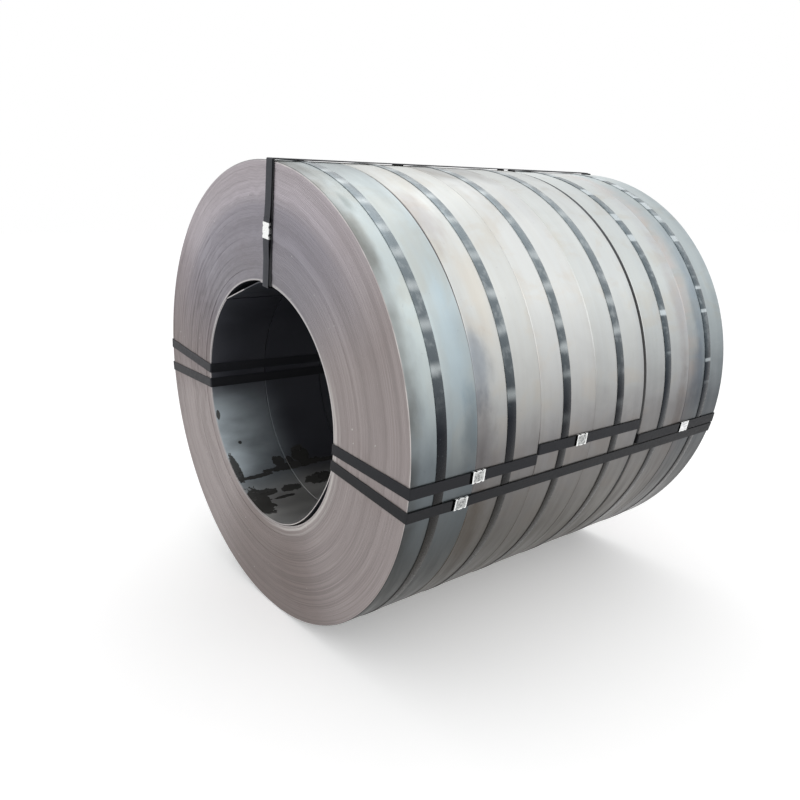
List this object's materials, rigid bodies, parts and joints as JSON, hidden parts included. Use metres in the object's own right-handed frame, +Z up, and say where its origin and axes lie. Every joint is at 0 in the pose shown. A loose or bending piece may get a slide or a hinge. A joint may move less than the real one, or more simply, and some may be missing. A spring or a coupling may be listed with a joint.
{
  "type": "slit steel coil pack",
  "caption": "Slit coils of hot-rolled steel strip lying side by side on a level axis, tied with steel belly straps and eye straps through the open bore.",
  "frame": {"origin": "on the floor, under the middle of the pack", "axes": "+Y along the coils' common axis from the front end to the rear end, +Z up, +X to the right when looking at the front end, along +Y"},
  "size_m": [1.1479, 1.1402, 1.1436],
  "materials": {
    "hot_rolled_strip": "mill scale, pickled grey, semi-bright on the outer turn and dull on the sheared edges",
    "belly_strapping": "blued and waxed, glossy",
    "eye_strapping": "black waxed, satin",
    "galvanised_seal": "bright galvanised"
  },
  "bodies": {
    "root": {"slit_coil_1": "hot_rolled_strip", "slit_coil_2": "hot_rolled_strip", "slit_coil_3": "hot_rolled_strip", "slit_coil_4": "hot_rolled_strip", "slit_coil_5": "hot_rolled_strip", "slit_coil_6": "hot_rolled_strip", "belly_strap_1": "belly_strapping", "belly_strap_2": "belly_strapping", "belly_strap_3": "belly_strapping", "belly_strap_4": "belly_strapping", "belly_strap_5": "belly_strapping", "belly_strap_6": "belly_strapping", "right_pair_1_strap": "eye_strapping", "right_pair_2_strap": "eye_strapping", "right_pair_3_strap": "eye_strapping", "top_pair_1_strap": "eye_strapping", "top_pair_2_strap": "eye_strapping", "top_pair_3_strap": "eye_strapping", "left_pair_1_strap": "eye_strapping", "left_pair_2_strap": "eye_strapping", "left_pair_3_strap": "eye_strapping", "right_full_strap": "eye_strapping", "top_full_strap": "eye_strapping", "left_full_strap": "eye_strapping", "belly_seal_1": "galvanised_seal", "belly_seal_2": "galvanised_seal", "belly_seal_3": "galvanised_seal", "belly_seal_4": "galvanised_seal", "belly_seal_5": "galvanised_seal", "belly_seal_6": "galvanised_seal", "right_pair_1_seal": "galvanised_seal", "right_pair_2_seal": "galvanised_seal", "right_pair_3_seal": "galvanised_seal", "top_pair_1_seal": "galvanised_seal", "top_pair_2_seal": "galvanised_seal", "top_pair_3_seal": "galvanised_seal", "left_pair_1_seal": "galvanised_seal", "left_pair_2_seal": "galvanised_seal", "left_pair_3_seal": "galvanised_seal", "right_full_seal": "galvanised_seal", "top_full_seal": "galvanised_seal", "left_full_seal": "galvanised_seal"}
  },
  "joints": []
}
